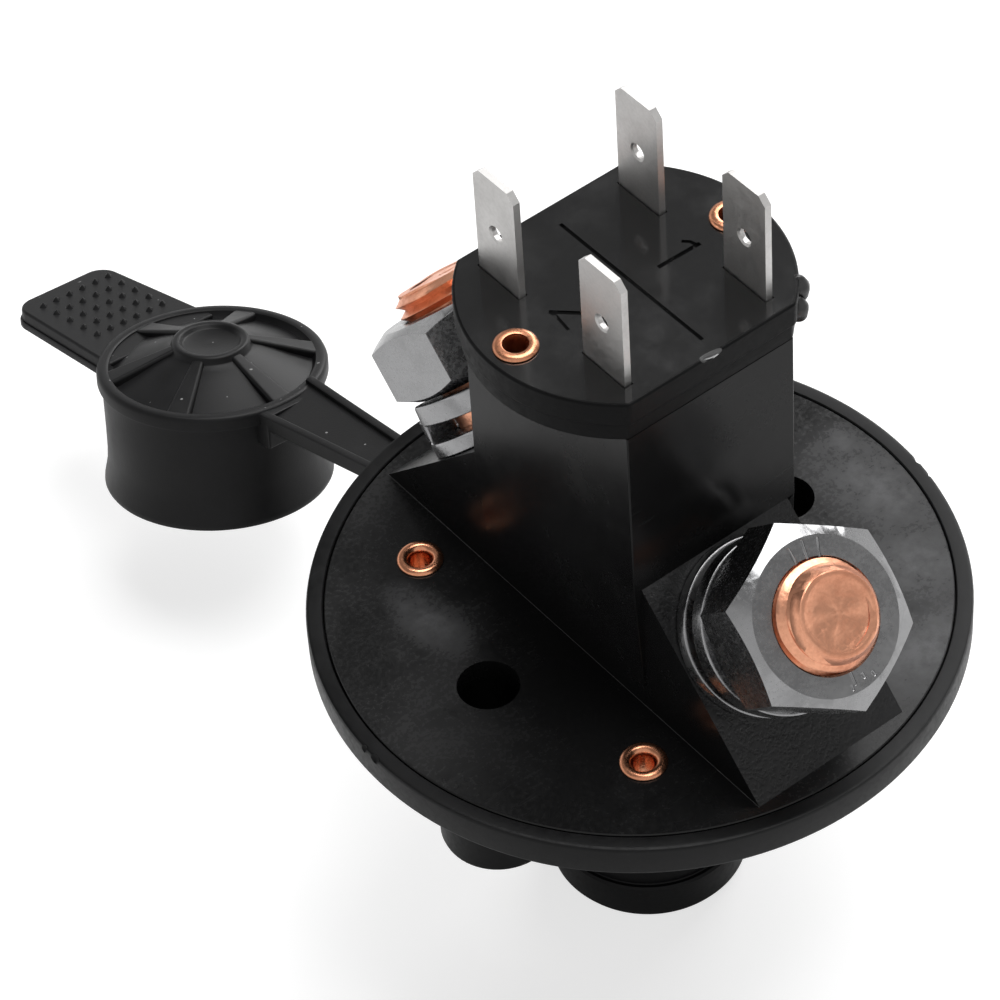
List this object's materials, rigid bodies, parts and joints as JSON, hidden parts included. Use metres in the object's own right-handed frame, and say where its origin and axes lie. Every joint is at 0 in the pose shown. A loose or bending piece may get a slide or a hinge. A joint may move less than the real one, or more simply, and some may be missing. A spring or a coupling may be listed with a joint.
{
  "type": "battery disconnect switch",
  "caption": "Round flange switch with 45 degree main studs, blade terminals on a lidded block, a key collar with spacer bosses and a rubber splash cap on a strap.",
  "frame": {"origin": "centre of the two mounting holes, on the underside of the flange and on the key axis", "axes": "+Z along the key axis from the collar towards the blade terminals, X along the mounting holes, +Y towards the stud on the cap's side"},
  "size_m": [0.07, 0.1326, 0.1],
  "materials": {
    "phenolic": "moulded black thermoset, satin to gloss",
    "phenolic_rear": "moulded black thermoset with a grained plate",
    "lid_plastic": "black, glossy",
    "tinned_brass": "tinned, satin",
    "copper": "copper, dull",
    "plated_steel": "zinc plated, bright",
    "rotor_plastic": "dark grey, matte",
    "rubber": "black rubber, satin",
    "spring_steel": "wire, bright"
  },
  "bodies": {
    "switch": {"front_flange": "phenolic", "rear_body": "phenolic_rear", "block_lid": "lid_plastic", "blade_terminal_1": "tinned_brass", "blade_terminal_2": "tinned_brass", "blade_terminal_3": "tinned_brass", "blade_terminal_4": "tinned_brass", "stud_near": "copper", "stud_far": "copper", "flat_washer_near": "plated_steel", "flat_washer_far": "plated_steel", "lock_washer_near": "plated_steel", "lock_washer_far": "plated_steel", "hex_nut_near": "plated_steel", "hex_nut_far": "plated_steel", "disc_rivets": "copper", "lid_rivets": "copper", "return_spring": "spring_steel"},
    "rotor": {"key_rotor": "rotor_plastic", "rotor_seal": "rubber"},
    "carrier": {"contact_carrier": "rotor_plastic", "main_bridge": "copper", "auxiliary_carrier": "rotor_plastic", "auxiliary_strip_1": "tinned_brass", "auxiliary_strip_2": "tinned_brass"},
    "ring": {"cap_ring": "rubber"},
    "strap": {"cap_strap": "rubber"},
    "cap": {"splash_cap": "rubber"}
  },
  "joints": [
    {"name": "key_turn", "type": "hinge", "parent": "switch", "child": "rotor", "pos_m": [0, 0, -0.0376], "axis": [0, 0, 1], "range_deg": [0, 90]},
    {"name": "contact_lift", "type": "slide", "parent": "switch", "child": "carrier", "axis": [0, 0, 1], "range_m": [0, 0.0024], "deforming": ["return_spring"]},
    {"name": "ring_swivel", "type": "hinge", "parent": "switch", "child": "ring", "pos_m": [0, 0, -0.00215], "axis": [0, 0, 1], "range_deg": [-50, 45]},
    {"name": "strap_fold", "type": "hinge", "parent": "ring", "child": "strap", "pos_m": [-0.00144, 0.01674, -0.00215], "axis": [-0.9963, -0.0854, 0], "range_deg": [-8, 80], "stiffness_Nm_per_rad": 0.1},
    {"name": "cap_fold", "type": "hinge", "parent": "strap", "child": "cap", "pos_m": [-0.00462, 0.05388, -0.00872], "axis": [-0.9777, -0.1865, 0.097], "range_deg": [0, 90.35], "stiffness_Nm_per_rad": 0.06}
  ],
  "couplings": [
    {"joint": "contact_lift", "follows": "key_turn", "m_per_rad": 0.0015279}
  ]
}
